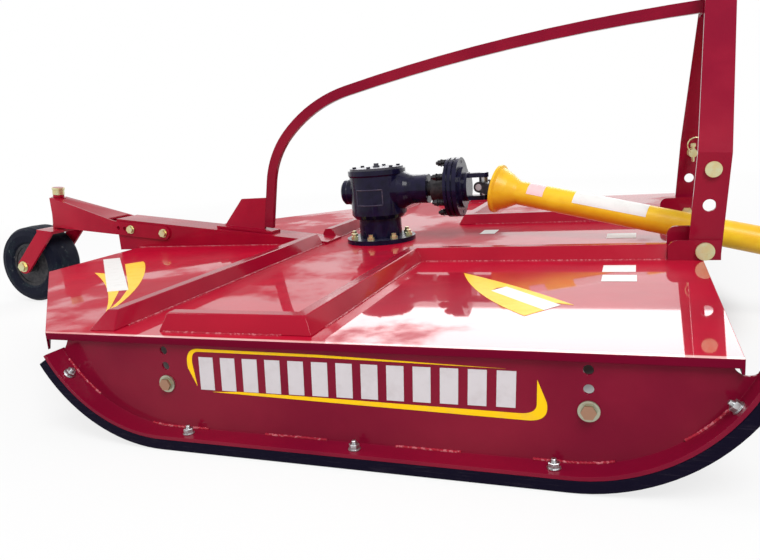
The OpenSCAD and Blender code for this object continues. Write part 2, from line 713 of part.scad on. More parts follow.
module front_guard() color("gold") on_shaft(shaft_l) rotate([0, -90, 0]) rotate_extrude($fn = 72) {
    translate([0, cone_start]) cone_section(guard_inner_r - guard_t);
    translate([guard_inner_r - guard_t, cone_end])
        square([guard_t, shaft_l - 2 * cone_end - guard_l + bar_in]);
    translate([bar_r + seat, cone_end - 6]) square([guard_inner_r - guard_t - bar_r - seat, 6]);
}

module front_cross() color("silver") on_shaft(shaft_l) cross();

// The tractor's end: yoke, splined barrel and the push pin that locks it
barrel_x = yoke_foot - 10;
module tractor_yoke() color("dimgray") on_shaft(shaft_l) difference() {
    union() {
        mirror([1, 0, 0]) yoke(yoke_foot, 36);
        translate([barrel_x, 0, 0]) rotate([0, 90, 0]) cylinder(r = yoke_r, h = yoke_l - barrel_x);
        translate([barrel_x + 44, 0, 0]) rotate([90, 0, 0]) cylinder(r = 8, h = yoke_r + 12);
    }
    translate([barrel_x, 0, 0]) rotate([0, 90, 0]) cylinder(r = spline_r, h = yoke_l);
}

carrier_z = blade_z + blade_t + 2;
hub_top = deck_low - 20 - seat;
module rotor_hub() color("dimgray") placed() {
    translate([0, 0, carrier_z + carrier_t]) cylinder(r = 85, h = 14);
    translate([0, 0, carrier_z + carrier_t]) cylinder(r = 52, h = hub_top - carrier_z - carrier_t);
    translate([0, 0, carrier_z - 14]) cylinder(r = 34, h = 14, $fn = 6);
}

carrier_end = blade_pivot + carrier_w / 2 - 8;
module blade_carrier() color("dimgray") placed() difference() {
    translate([0, 0, carrier_z]) linear_extrude(carrier_t) {
        square([carrier_w, 2 * blade_pivot], center = true);
        for (s = [-1, 1]) translate([0, s * blade_pivot]) circle(r = carrier_w / 2);
        circle(r = carrier_w);
    }
    both() translate([0, blade_pivot, 0]) cylinder(r = blade_bolt_r + run, h = far);
}

module blade_bolts() color("silver") placed() both() translate([0, blade_pivot, 0]) {
    translate([0, 0, blade_z - 1]) cylinder(r = blade_bolt_r, h = carrier_z + carrier_t - blade_z + 3);
    translate([0, 0, blade_z - 13]) cylinder(r = blade_bolt_r + 10, h = 12);
    translate([0, 0, carrier_z + carrier_t]) cylinder(r = blade_bolt_r + 11, h = 20, $fn = 6);
}

// Fan at the blade's end, and where the bevel of its cutting edge starts
fan_l = 150;
fan_h = 44;
fan_end = 40;
bevel_start = 110;
// Swinging blade with bevelled edges and a raised fan at its trailing edge
module blade() color("silver") placed() difference() {
    union() {
        translate([0, blade_pivot, blade_z]) linear_extrude(blade_t) {
            circle(r = blade_w / 2);
            translate([-blade_w / 2, 0]) square([blade_w, rotor_r - blade_pivot - 12]);
            translate([-blade_w / 2, 0]) polygon([[0, 0], [blade_w, 0],
                [blade_w - 22, rotor_r - blade_pivot - 4], [22, rotor_r - blade_pivot - 4]]);
        }
        translate([-blade_w / 2, rotor_r - fan_end - fan_l, blade_z]) rotate([0, -42, 0])
            translate([-4, 0, 0]) cube([fan_h, fan_l, blade_t * 0.7]);
    }
    translate([0, blade_pivot, 0]) cylinder(r = blade_bolt_r + run, h = far);
    translate([blade_w / 2, blade_pivot + bevel_start, blade_z]) rotate([0, 52, 0])
        translate([-far / 2, 0, 0]) mirror([0, 0, 1]) cube([far, far, 20]);
}
module blade_left() blade();
module blade_right() mirror([0, 1, 0]) blade();

// Side view of the tail beam, drawn in by d at its walls
module beam_side(d) {
    step = -deck_rear - 8;
    polygon([[beam_front - d * 16, deck_top + d], [step - d, deck_top + d], [step - d, deck_top - beam_drop + d],
        [beam_rear - d, deck_top - beam_drop + d], [beam_rear - d, beam_top(beam_rear) - d],
        [beam_front - d * 16, beam_top(beam_front - d * 16) - d]]);
}

arm_bolts = [for (i = [0, 1]) let (x = arm_bolt_x - i * arm_bolt_gap) [x, beam_top(x) - arm_half - 8]];
arm_spares = [for (i = [1, 2]) let (x = arm_bolts[1][0] - i * 32) [x, beam_top(x) - arm_half - 8]];

module tail_beam() color("crimson") placed() difference() {
    upright(-beam_half, 2 * beam_half) beam_side(0);
    upright(beam_t - beam_half, 2 * (beam_half - beam_t)) beam_side(beam_t);
    for (p = arm_bolts) bar_y(10 + run, p[0], p[1], -far, far);
}

king = [king_x, king_z];
sleeve_r = king_r + 11;
// Plan of the bolted arm: parallel along the beam, then drawn in to the kingpin
function arm_plan(d) = let (y = beam_half + seat + arm_t - d, e = sleeve_r + 4 - d)
    [[far, -y], [far, y], [beam_rear - 20, y], [king_x, e], [king_x, -e], [beam_rear - 20, -y]];
// Side view of the arm's two cheeks
module arm_side() {
    translate(arm_bolts[0]) circle(r = arm_half);
    polygon([arm_bolts[0] - [0, arm_half], arm_bolts[0] + [0, arm_half],
        [beam_rear - 10, beam_top(beam_rear - 10) - 8], [king_x + 25, king_z + sleeve_l - 3],
        [king_x - 4, king_z + sleeve_l + 1], [king_x - 22, king_z + 6], [beam_rear - 10, arm_low]]);
}
arm_low = beam_top(beam_rear - 10) - 2 * arm_half - 8;
arm_web_x = beam_rear - 45;

// Puts its children at the foot of the kingpin sleeve, leaning with it
module at_king() placed() translate([king_x, 0, king_z]) rotate([0, king_lean, 0]) children();

module tail_arm() color("crimson") difference() {
    union() {
        placed() intersection() {
            upright(-far / 2, far) arm_side();
            linear_extrude(far) difference() {
                polygon(arm_plan(0));
                polygon(arm_plan(arm_t));
            }
        }
        placed() intersection() {
            upright(-far / 2, far) intersection() {
                difference() {
                    arm_side();
                    translate([0, -arm_t]) arm_side();
                }
                translate([-far, 0]) square([far + arm_web_x, far]);
            }
            linear_extrude(far) polygon(arm_plan(0));
        }
        at_king() cylinder(r = sleeve_r, h = sleeve_l);
    }
    at_king() translate([0, 0, -over]) cylinder(r = king_r + run, h = sleeve_l + 40);
    placed() for (p = arm_bolts) bar_y(10 + run, p[0], p[1], -far, far);
    placed() for (p = arm_spares) bar_y(8, p[0], p[1], -far, far);
}

module tail_arm_bolts() color("goldenrod") placed() for (p = arm_bolts) {
    cheek = beam_half + seat + arm_t;
    bar_y(10, p[0], p[1], -cheek - 2, cheek + 16);
    bar_y(17, p[0], p[1], -cheek - 3, -cheek);
    translate([p[0], -cheek - 3, p[1]]) rotate([90, 0, 0]) cylinder(r = 15, h = 10, $fn = 6);
    translate([p[0], cheek, p[1]]) rotate([-90, 0, 0]) cylinder(r = 15, h = 10, $fn = 6);
}

// Side view of a fork arm in the kingpin's frame
crown_front = 44;
crown_rear = -36;
fork_hub_r = 32;
module fork_arm() {
    hub = [-trail, -wheel_drop];
    top = [(crown_front + crown_rear) / 2, -seat - fork_t];
    side = fork_hub_r * [top[1] - hub[1], hub[0] - top[0]] / norm(top - hub);
    translate(hub) circle(r = fork_hub_r);
    polygon([hub - side, [crown_rear, -seat - fork_t], [crown_rear, -seat], [crown_front, -seat],
        [crown_front, -seat - fork_t], hub + side]);
}

module tail_fork() color("crimson") at_king() difference() {
    union() {
        both() upright(-fork_in - fork_t, fork_t) fork_arm();
        translate([crown_rear, -fork_in - 1, -seat - fork_t]) cube([crown_front - crown_rear, 2 * fork_in + 2, fork_t]);
        translate([0, 0, -seat - 1]) cylinder(r = king_r, h = sleeve_l + 30);
        translate([0, 0, sleeve_l + 3 * seat]) cylinder(r = king_r + 3, h = 42);
    }
    bar_y(axle_r + run, -trail, -wheel_drop, -far, far);
}

module tail_axle() color("goldenrod") placed() {
    out = fork_in + fork_t;
    bar_y(axle_r, wheel_x, wheel_r, -out - 3, out + 14);
    bar_y(24, wheel_x, wheel_r, -out - 4, -out);
    translate([wheel_x, -out - 4, wheel_r]) rotate([90, 0, 0]) cylinder(r = 19, h = 12, $fn = 6);
    translate([wheel_x, out, wheel_r]) rotate([-90, 0, 0]) cylinder(r = 19, h = 12, $fn = 6);
}

// Revolves a radius and width profile about the tail wheel's axle
module about_axle() placed() translate([wheel_x, 0, wheel_r]) rotate([90, 0, 0]) rotate_extrude($fn = 72)
    children();

module tail_wheel_disc() color("dimgray") about_axle() difference() {
    union() {
        translate([0, 12 - tyre_w / 2]) square([disc_r, tyre_w - 24]);
        translate([0, seat - fork_in]) square([30, 2 * (fork_in - seat)]);
    }
    translate([-far, -far / 2]) square([far + axle_r + run, far]);
    for (s = [-1, 1]) translate([38, s * tyre_w / 2 - 15]) square([disc_r - 50, 30]);
}

module tail_tyre() color("black") about_axle() {
    h = tyre_w / 2;
    polygon([[disc_r, 12 - h], [disc_r + 8, 4 - h], [wheel_r - 34, -h], [wheel_r - 12, 5 - h],
        [wheel_r - 2, 20 - h], [wheel_r, 0], [wheel_r - 2, h - 20], [wheel_r - 12, h - 5],
        [wheel_r - 34, h], [disc_r + 8, h - 4], [disc_r, h - 12]]);
}

deck();
side_panel_right();
side_panel_left();
wear_strip_right();
wear_strip_left();
stiffener_right();
stiffener_left();
rear_stiffeners();
side_bolts();
mast_ears();
mast_leg_right();
mast_leg_left();
leg_pivot_bolts();
hitch_pin_right();
hitch_pin_left();
top_link_plates();
brace_bar();
brace_bracket();
brace_bolt();
gearbox_base();
gearbox_body();
gearbox_cover();
gearbox_bolts();
input_hub();
slip_clutch();
clutch_bolts();
clutch_yoke();
rear_cross();
rear_shaft();
rear_guard();
front_shaft();
front_guard();
front_cross();
tractor_yoke();
rotor_hub();
blade_carrier();
blade_bolts();
blade_right();
blade_left();
tail_beam();
tail_arm();
tail_arm_bolts();
tail_fork();
tail_axle();
tail_wheel_disc();
tail_tyre();
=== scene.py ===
"""Looks of the rotary brush cutter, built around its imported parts. Metres, +X forward, +Z up."""

import json
import math
import random

import bmesh
import bpy
from mathutils import Matrix, Vector


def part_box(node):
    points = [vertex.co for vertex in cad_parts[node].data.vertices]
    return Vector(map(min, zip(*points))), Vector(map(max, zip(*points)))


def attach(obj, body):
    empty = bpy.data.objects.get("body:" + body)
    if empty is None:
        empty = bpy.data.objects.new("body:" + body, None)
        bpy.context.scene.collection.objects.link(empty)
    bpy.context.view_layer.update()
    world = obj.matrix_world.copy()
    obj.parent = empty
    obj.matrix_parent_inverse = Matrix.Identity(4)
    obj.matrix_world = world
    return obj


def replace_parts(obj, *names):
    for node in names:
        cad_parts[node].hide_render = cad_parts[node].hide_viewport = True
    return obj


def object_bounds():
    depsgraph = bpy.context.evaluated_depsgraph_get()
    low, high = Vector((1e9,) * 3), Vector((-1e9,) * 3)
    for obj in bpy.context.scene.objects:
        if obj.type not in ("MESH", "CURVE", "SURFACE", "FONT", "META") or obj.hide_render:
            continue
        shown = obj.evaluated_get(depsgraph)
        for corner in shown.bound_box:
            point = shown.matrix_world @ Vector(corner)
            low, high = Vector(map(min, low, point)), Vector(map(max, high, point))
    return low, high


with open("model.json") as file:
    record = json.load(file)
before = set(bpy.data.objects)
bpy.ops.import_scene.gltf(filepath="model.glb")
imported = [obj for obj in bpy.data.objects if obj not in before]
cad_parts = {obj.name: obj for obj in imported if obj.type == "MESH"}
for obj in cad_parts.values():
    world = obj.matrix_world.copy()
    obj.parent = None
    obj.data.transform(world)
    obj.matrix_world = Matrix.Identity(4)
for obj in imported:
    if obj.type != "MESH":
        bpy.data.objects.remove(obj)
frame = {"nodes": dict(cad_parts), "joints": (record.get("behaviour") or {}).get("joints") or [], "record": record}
cad_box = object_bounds()
nodes = frame["nodes"]
dice = random.Random(7)

# Places taken from the frame


def middle(node):
    low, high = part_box(node)
    return (low + high) / 2


AXIS = middle("gearbox_base").x
DECK_LOW, DECK_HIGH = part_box("deck")
DECK_Z = DECK_HIGH.z
FLANGE_W = 0.05
PANEL_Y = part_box("side_panel_right")[0].y + FLANGE_W
RIB_LOW, RIB_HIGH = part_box("stiffener_right")
RIB_BASE, RIB_TOP, RIB_H = 0.07, 0.030, 0.038  # the stiffeners' section: foot, top and height
RIB_CROSS = 0.242  # the stiffeners' run across the deck, ahead of the gearbox axis
BEAM_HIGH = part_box("tail_beam")[1]
INPUT_Z = middle("input_hub").z


def at(x, y, z):
    """A place whose x is counted from the gearbox axis."""
    return Vector((AXIS + x, y, z))


# Shader values


class Value:
    """A shader socket that takes Python's operators, each of which adds a Math node."""

    def __init__(self, finish, socket):
        self.finish, self.socket = finish, socket

    def math(self, operation, *values):
        return self.finish.node("ShaderNodeMath", {"operation": operation}, dict(enumerate(values)))

    def __add__(self, other):
        return self.math("ADD", self, other)

    def __sub__(self, other):
        return self.math("SUBTRACT", self, other)

    def __rsub__(self, other):
        return self.math("SUBTRACT", other, self)

    def __mul__(self, other):
        return self.math("MULTIPLY", self, other)

    def __abs__(self):
        return self.math("ABSOLUTE", self)

    __radd__ = __add__
    __rmul__ = __mul__

    def or_more(self, other):
        """The larger of the two values."""
        return self.math("MAXIMUM", self, other)

    def between(self, low, high, to_low=0.0, to_high=1.0):
        """The value mapped smoothly from low..high."""
        return self.finish.node(
            "ShaderNodeMapRange",
            {"interpolation_type": "SMOOTHSTEP"},
            {"Value": self, "From Min": low, "From Max": high, "To Min": to_low, "To Max": to_high},
        )


class Finish:
    """One material and the one method that adds any node to it."""

    def __init__(self, name):
        self.material = bpy.data.materials.new(name)
        self.material.use_nodes = True
        self.tree = self.material.node_tree
        self.shader = self.tree.nodes["Principled BSDF"]
        self.place = self.node("ShaderNodeTexCoord", out="Object")

    def node(self, kind, settings=None, values=None, out=0):
        made = self.tree.nodes.new(kind)
        for key, value in (settings or {}).items():
            setattr(made, key, value)
        for key, value in (values or {}).items():
            self.feed(made.inputs[key], value)
        return Value(self, made.outputs[out])

    def feed(self, socket, value):
        if isinstance(value, Value):
            self.tree.links.new(value.socket, socket)
        else:
            socket.default_value = value

    def set(self, **values):
        for key, value in values.items():
            self.feed(self.shader.inputs[key.replace("_", " ")], value)
        return self

    def stretched(self, x, y, z):
        return self.node("ShaderNodeVectorMath", {"operation": "MULTIPLY"}, {0: self.place, 1: (x, y, z)})

    def noise(self, scale, detail, rough=0.5, place=None):
        values = {"Vector": place or self.place, "Scale": scale, "Detail": detail, "Roughness": rough}
        return self.node("ShaderNodeTexNoise", None, values)

    def mix(self, amount, first, second):
        """A colour between two colours; 6, 7 and 2 are the Mix node's colour sockets."""
        return self.node("ShaderNodeMix", {"data_type": "RGBA"}, {0: amount, 6: first, 7: second}, out=2)

    def mix_shaders(self, amount, first, second):
        return self.node("ShaderNodeMixShader", None, {0: amount, 1: first, 2: second}, out="Shader")

    def along(self, axis):
        """The place's coordinate on X, Y or Z."""
        return self.node("ShaderNodeSeparateXYZ", None, {0: self.place}, out=axis)

    def length(self, vector):
        return self.node("ShaderNodeVectorMath", {"operation": "LENGTH"}, {0: vector}, out="Value")

    def facing(self, axis):
        """How far the surface faces along the axis, from -1 to 1."""
        values = {0: self.node("ShaderNodeNewGeometry", out="Normal"), 1: axis}
        return self.node("ShaderNodeVectorMath", {"operation": "DOT_PRODUCT"}, values, out="Value")

    def bump(self, height, depth, strength):
        values = {"Height": height, "Distance": depth, "Strength": strength}
        return self.set(Normal=self.node("ShaderNodeBump", None, values, out="Normal"))


def rgb(red, green, blue):
    return (red, green, blue, 1.0)


# Finishes


def red_enamel(name="red_enamel", level=1.0, weld=False):
    """Crimson enamel with a cloudy sheen, orange peel and fine rubbing; level scales its red, and a level below 1
    is painted shade.
    """
    f = Finish(name)
    cloud = f.noise(1.7, 4.0, 0.55)
    haze = f.noise(7.0, 5.0, 0.6).between(0.48, 0.72)
    rubs = f.noise(26.0, 6.0, 0.7, f.stretched(1.0, 5.0, 3.0)).between(0.62, 0.7)
    red = f.mix(cloud.between(0.35, 0.65), rgb(0.28 * level, 0.003, 0.021), rgb(0.37 * level, 0.004, 0.022))
    red = f.mix(haze * 0.22, red, rgb(0.45 * level, 0.008, 0.032))
    if weld:
        red = f.mix(f.noise(130.0, 2.0).between(0.5, 0.6, 0.04, 0.4), red, rgb(0.75, 0.30, 0.34))
    f.set(Base_Color=red, Roughness=haze * 0.08 + rubs * 0.1 + 0.16, IOR=1.14)
    f.set(Coat_Weight=cloud.between(0.4, 0.62, 0.2, 0.6), Coat_Roughness=0.05, Coat_IOR=1.25)
    peel = f.noise(420.0, 2.0) * 0.2 + f.noise(14.0, 2.0) + f.noise(3.2, 2.0) * 5.0
    if weld:
        peel = f.noise(500.0, 3.0) * 3.0
    f.bump(peel, 0.0006, 0.4)
    return f.material


BEND_INNER, BEND_OUTER = DECK_HIGH.y - 0.013, DECK_HIGH.y - 0.009  # where the deck bends into its side lip


def deck_enamel():
    """The deck's enamel, a brighter red than the rest: a mirror in clouded fields, strongest at the front, with a
    painted highlight along the bend and painted shade on faces that don't face up.
    """
    f = Finish("deck_enamel")
    aside = abs(f.along("Y"))
    up = f.facing((0.0, 0.0, 1.0)).between(0.5, 0.9)
    cloud = f.noise(2.6, 5.0, 0.55)
    haze = f.noise(7.0, 5.0, 0.6).between(0.48, 0.72)
    front = f.along("X").between(AXIS + 0.15, AXIS + 0.75)
    edge = aside.between(0.55, 1.0)
    fields = (cloud + front * 0.12 + edge * 0.05).between(0.5, 0.6)
    # Painted highlight: a near-white strip along the bend into the side lip
    painted_bend_highlight = aside.between(BEND_INNER, BEND_OUTER) * up * cloud.between(0.4, 0.6, 0.35, 1.0)
    red = f.mix(cloud.between(0.35, 0.65), rgb(0.38, 0.003, 0.022), rgb(0.50, 0.005, 0.030))
    red = f.mix(haze * 0.2, red, rgb(0.55, 0.02, 0.04))
    # Painted shade: faces that don't face up, such as the lip's face, turn a dark red
    red = f.mix(up, rgb(0.15, 0.003, 0.020), red)
    red = f.mix(painted_bend_highlight * 0.8, red, rgb(0.95, 0.66, 0.62))
    f.set(Base_Color=red, Roughness=haze * 0.1 + 0.3, IOR=1.06)
    f.set(Coat_Weight=(fields * 0.66 + front * 0.16 + 0.07) * up, Coat_IOR=1.9, Coat_Roughness=0.03)
    f.bump(f.noise(9.0, 2.0) * 1.5 + f.noise(2.4, 3.0) * 11.0, 0.0006, 0.4)
    return f.material


def dark_enamel():
    """Blue-black gloss paint over a sand casting, lighter on top: dust, and a painted reflection of the sky."""
    f = Finish("dark_enamel")
    grain = f.noise(260.0, 4.0, 0.6)
    lumps = f.noise(38.0, 3.0)
    up = f.facing((0.0, 0.0, 1.0)).between(0.6, 0.95)
    dust_and_painted_reflection = f.noise(45.0, 5.0, 0.7).between(0.35, 0.75) * up
    wear = f.noise(90.0, 6.0, 0.75).between(0.66, 0.72)
    base = f.mix(lumps.between(0.3, 0.7), rgb(0.004, 0.0035, 0.017), rgb(0.008, 0.0065, 0.030))
    # Lighter grey on top faces: partly dust, partly a painted reflection of the sky
    base = f.mix(dust_and_painted_reflection * 0.25, base, rgb(0.20, 0.19, 0.24))
    base = f.mix(wear * 0.2, base, rgb(0.08, 0.07, 0.10))
    f.set(Base_Color=base, Roughness=grain * 0.14 + dust_and_painted_reflection * 0.2 + 0.2, IOR=1.15)
    f.set(Coat_Weight=0.6 - dust_and_painted_reflection * 0.4, Coat_Roughness=0.07, Coat_IOR=1.3)
    f.bump(grain * 0.5 + lumps * 1.6, 0.0011, 0.5)
    return f.material


def guard_plastic():
    """Moulded yellow plastic, a little mottled, with scuffs and dark dirt in patches, and painted shade, a deeper
    orange, on faces that point down.
    """
    f = Finish("guard_plastic")
    mottle = f.noise(11.0, 4.0, 0.6)
    scuff = f.noise(34.0, 6.0, 0.72, f.stretched(0.7, 3.0, 3.0)).between(0.6, 0.72)
    down = f.facing((0.0, 0.0, -1.0)).between(-0.1, 0.9)
    base = f.mix(mottle.between(0.3, 0.7), rgb(0.80, 0.44, 0.010), rgb(0.88, 0.57, 0.018))
    # Painted shade: faces that point down turn a deeper orange
    base = f.mix(down * 0.4, base, rgb(0.62, 0.24, 0.008))
    base = f.mix(scuff * 0.25, base, rgb(0.50, 0.29, 0.05))
    f.set(Base_Color=base, Roughness=mottle * 0.18 + scuff * 0.2 + 0.24, IOR=1.42)
    f.bump(f.noise(320.0, 3.0) * 0.4 + mottle * 1.5, 0.0008, 0.45)
    return f.material


def skid_strip():
    """Black rubber-like wear strip with a blue cast, scraped where it meets the ground."""
    f = Finish("skid_strip")
    grain = f.noise(180.0, 5.0, 0.65)
    streak = f.noise(30.0, 5.0, 0.7, f.stretched(0.5, 6.0, 6.0)).between(0.52, 0.7)
    base = f.mix(streak * 0.4, rgb(0.0035, 0.002, 0.011), rgb(0.030, 0.022, 0.040))
    f.set(Base_Color=base, Roughness=grain * 0.25 + 0.5, IOR=1.15)
    f.bump(grain * 0.8 + streak, 0.0012, 0.6)
    return f.material


def wheel_rubber():
    """Solid black tyre with a green-blue cast, pitted and dusty on its tread."""
    f = Finish("wheel_rubber")
    pits = f.noise(120.0, 6.0, 0.75)
    patches = f.noise(17.0, 5.0, 0.65).between(0.5, 0.68)
    specks = f.noise(70.0, 6.0, 0.8).between(0.58, 0.66)
    base = f.mix(patches * 0.55, rgb(0.003, 0.004, 0.013), rgb(0.011, 0.024, 0.028))
    base = f.mix(specks * patches * 0.6, base, rgb(0.42, 0.42, 0.42))
    f.set(Base_Color=base, Roughness=pits * 0.3 + 0.42, IOR=1.2)
    f.bump(pits * 1.2 + patches * 1.2, 0.0014, 0.7)
    return f.material


NOWHERE = 9.0  # metres, so that no piece reaches it
GREASE = (0.02, 0.018, 0.03)


def yellow_zinc(name="yellow_zinc", axis="Z", start=NOWHERE, near=None, beyond=GREASE):
    """Zinc plate with a yellow to green bloom, of another colour beyond a distance on one axis."""
    f = Finish(name)
    bloom = f.noise(48.0, 3.0, 0.6)
    spots = f.noise(150.0, 5.0, 0.7).between(0.6, 0.7)
    base = f.mix(bloom.between(0.35, 0.65), rgb(0.62, 0.52, 0.26), rgb(0.60, 0.60, 0.36))
    if near:
        base = f.mix(0.8, base, rgb(*near))
    base = f.mix(spots * 0.35, base, rgb(0.30, 0.22, 0.14))
    base = f.mix(abs(f.along(axis)).between(start - 0.0004, start), base, rgb(*beyond))
    f.set(Base_Color=base, Metallic=0.85, Roughness=bloom * 0.2 + spots * 0.2 + 0.24)
    f.bump(f.noise(600.0, 3.0), 0.0003, 0.4)
    return f.material


def bare_steel():
    """Ground and rolled steel with faint rust."""
    f = Finish("bare_steel")
    drawn = f.noise(60.0, 5.0, 0.6, f.stretched(1.0, 8.0, 8.0))
    rust = f.noise(22.0, 6.0, 0.72).between(0.58, 0.72)
    base = f.mix(drawn.between(0.3, 0.7), rgb(0.40, 0.41, 0.42), rgb(0.58, 0.58, 0.59))
    base = f.mix(rust * 0.35, base, rgb(0.28, 0.13, 0.06))
    f.set(Base_Color=base, Metallic=1.0 - rust * 0.6, Roughness=drawn * 0.2 + rust * 0.3 + 0.25)
    f.bump(drawn, 0.0004, 0.5)
    return f.material


def forged_steel():
    """Dark oiled forging."""
    f = Finish("forged_steel")
    scale = f.noise(75.0, 5.0, 0.65)
    oil = f.noise(12.0, 3.0).between(0.4, 0.7)
    base = f.mix(scale.between(0.3, 0.75), rgb(0.012, 0.012, 0.016), rgb(0.055, 0.052, 0.055))
    f.set(Base_Color=base, Metallic=0.6, Roughness=0.5 - oil * 0.2 + scale * 0.1)
    f.bump(scale, 0.0009, 0.6)
    return f.material


def cover_paint():
    """Flat top cover, pale grey on top: dust, and a painted reflection of the white sky on its gloss."""
    f = Finish("cover_paint")
    dust_and_painted_reflection = f.noise(30.0, 5.0, 0.7)
    up = f.facing((0.0, 0.0, 1.0)).between(0.6, 0.95)
    # Up-facing faces turn pale grey in noisy patches: partly dust, partly a painted reflection of the white sky
    base = f.mix(dust_and_painted_reflection.between(0.3, 0.7) * up, rgb(0.05, 0.05, 0.065), rgb(0.36, 0.36, 0.40))
    f.set(Base_Color=base, Roughness=dust_and_painted_reflection * 0.2 + 0.2, Metallic=0.2)
    f.bump(f.noise(220.0, 4.0), 0.0006, 0.5)
    return f.material


def vinyl(name, colour, dirt=0.16):
    """Printed vinyl: nearly flat, with faint soiling and wrinkles."""
    f = Finish(name)
    soil = f.noise(24.0, 5.0, 0.7).between(0.45, 0.75)
    base = f.mix(soil * dirt, colour, rgb(0.30, 0.22, 0.20))
    f.set(Base_Color=base, Roughness=soil * 0.2 + 0.28, IOR=1.2)
    f.bump(f.noise(130.0, 3.0), 0.0004, 0.4)
    return f.material


RED = red_enamel()
# Darker copies of the same red enamel are painted shade: the side panels, under the deck's lip, at 0.58 and the
# mast's parts at 0.72
SHADED_PANEL_RED = red_enamel("panel_enamel_painted_shade", 0.58)
SHADED_MAST_RED = red_enamel("mast_enamel_painted_shade", 0.72)
DECK_RED = deck_enamel()
WELD = red_enamel("weld_enamel", weld=True)
DARK = dark_enamel()
YELLOW = guard_plastic()
# The blank plate's rim: lighter than the gearbox's paint and more soiled, a painted highlight along its raised
# edge with some real soiling
PLATE_RIM_HIGHLIGHT = vinyl("plate_rim_painted_highlight", rgb(0.055, 0.05, 0.085), 0.4)
STRIP = skid_strip()
RUBBER = wheel_rubber()
ZINC = yellow_zinc()
COVER_BOLTS_Z = DECK_Z + 0.10  # above it the gearbox's bolts are the painted ones of its cover
BOX_BOLT = yellow_zinc("gearbox_zinc", "Z", COVER_BOLTS_Z)
SIDE_BOLT_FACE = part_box("side_bolts")[1].y - 0.0055  # from here outward each side bolt is rusty
SIDE_BOLT = yellow_zinc("side_zinc", "Y", SIDE_BOLT_FACE, (0.34, 0.36, 0.30), (0.36, 0.20, 0.13))
STEEL = bare_steel()
FORGED = forged_steel()
COVER = cover_paint()
SIGN_YELLOW = vinyl("sign_yellow", rgb(0.96, 0.58, 0.005))
SIGN_GREY = vinyl("sign_grey", rgb(0.62, 0.58, 0.60))
LABEL_WHITE = vinyl("label_white", rgb(0.80, 0.80, 0.78))
LABEL_PINK = vinyl("label_pink", rgb(0.85, 0.60, 0.62))

OWN_FINISH = {
    "deck": DECK_RED,
    "side_panel_right": SHADED_PANEL_RED,
    "side_panel_left": SHADED_PANEL_RED,
    "mast_leg_right": SHADED_MAST_RED,
    "mast_leg_left": SHADED_MAST_RED,
    "mast_ears": SHADED_MAST_RED,
    "top_link_plates": SHADED_MAST_RED,
    "brace_bar": SHADED_MAST_RED,
    "gearbox_bolts": BOX_BOLT,
    "side_bolts": SIDE_BOLT,
}
SLOT_FINISH = {
    "red_paint": RED,
    "dark_paint": DARK,
    "yellow_guard": YELLOW,
    "black_strip": STRIP,
    "tyre_rubber": RUBBER,
    "yellow_zinc": ZINC,
    "bare_steel": STEEL,
    "dark_steel": FORGED,
    "cover_metal": COVER,
}
SLOT_OF = {row["node"]: row["material_slot"] for row in frame["record"]["subparts"]}
BODY_OF = {n: body for body, names in frame["record"]["behaviour"]["bodies"].items() for n in names}


# Mesh tools


def shown(name, data):
    """An object with this data, linked to the scene."""
    made = bpy.data.objects.new(name, data)
    bpy.context.scene.collection.objects.link(made)
    return made


def piece(name, mesh, body, material, smooth=35):
    """A new piece from a bmesh, riding on a body."""
    data = bpy.data.meshes.new(name)
    bmesh.ops.recalc_face_normals(mesh, faces=mesh.faces)
    mesh.to_mesh(data)
    mesh.free()
    data.materials.append(material)
    for face in data.polygons:
        face.use_smooth = True
    data.set_sharp_from_angle(angle=math.radians(smooth))
    made = shown(name, data)
    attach(made, body)
    return made


def round_edges(made, width, angle):
    """Two-step round edges wherever the faces turn by more than the angle."""
    edge = made.modifiers.new("edge", "BEVEL")
    edge.width, edge.segments = width, 2
    edge.limit_method, edge.angle_limit = "ANGLE", math.radians(angle)


def lifted(place, height):
    """The place moved along its own Z."""
    return place @ Matrix.Translation((0, 0, height))


def frame_along(direction):
    """A turn whose Z lies along the direction."""
    return Vector(direction).to_track_quat("Z", "Y").to_matrix().to_4x4()


def ring(mesh, place, radius, sides):
    """Vertices round the local Z axis of a place."""
    return [
        mesh.verts.new(place @ Vector((radius * math.cos(a), radius * math.sin(a), 0.0)))
        for a in (math.tau * k / sides for k in range(sides))
    ]


def bridge(mesh, first, second):
    count = len(first)
    for k in range(count):
        mesh.faces.new((first[k], first[(k + 1) % count], second[(k + 1) % count], second[k]))


def turned(mesh, place, profile, sides=32):
    """A solid of revolution about the local Z of a place from (radius, height) pairs."""
    rings = [ring(mesh, lifted(place, height), radius, sides) for radius, height in profile]
    for first, second in zip(rings, rings[1:]):
        bridge(mesh, first, second)
    mesh.faces.new(rings[0])
    mesh.faces.new(rings[-1])


def hexagon(mesh, place, flats, height):
    """A hexagon nut whose corners lean in over the last part of its height."""
    corner = flats / math.sqrt(3)
    straight, lean = 0.88, 0.9
    low = ring(mesh, place, corner, 6)
    high = ring(mesh, lifted(place, height * straight), corner, 6)
    top = ring(mesh, lifted(place, height), corner * lean, 6)
    bridge(mesh, low, high)
    bridge(mesh, high, top)
    mesh.faces.new(low)
    mesh.faces.new(top)


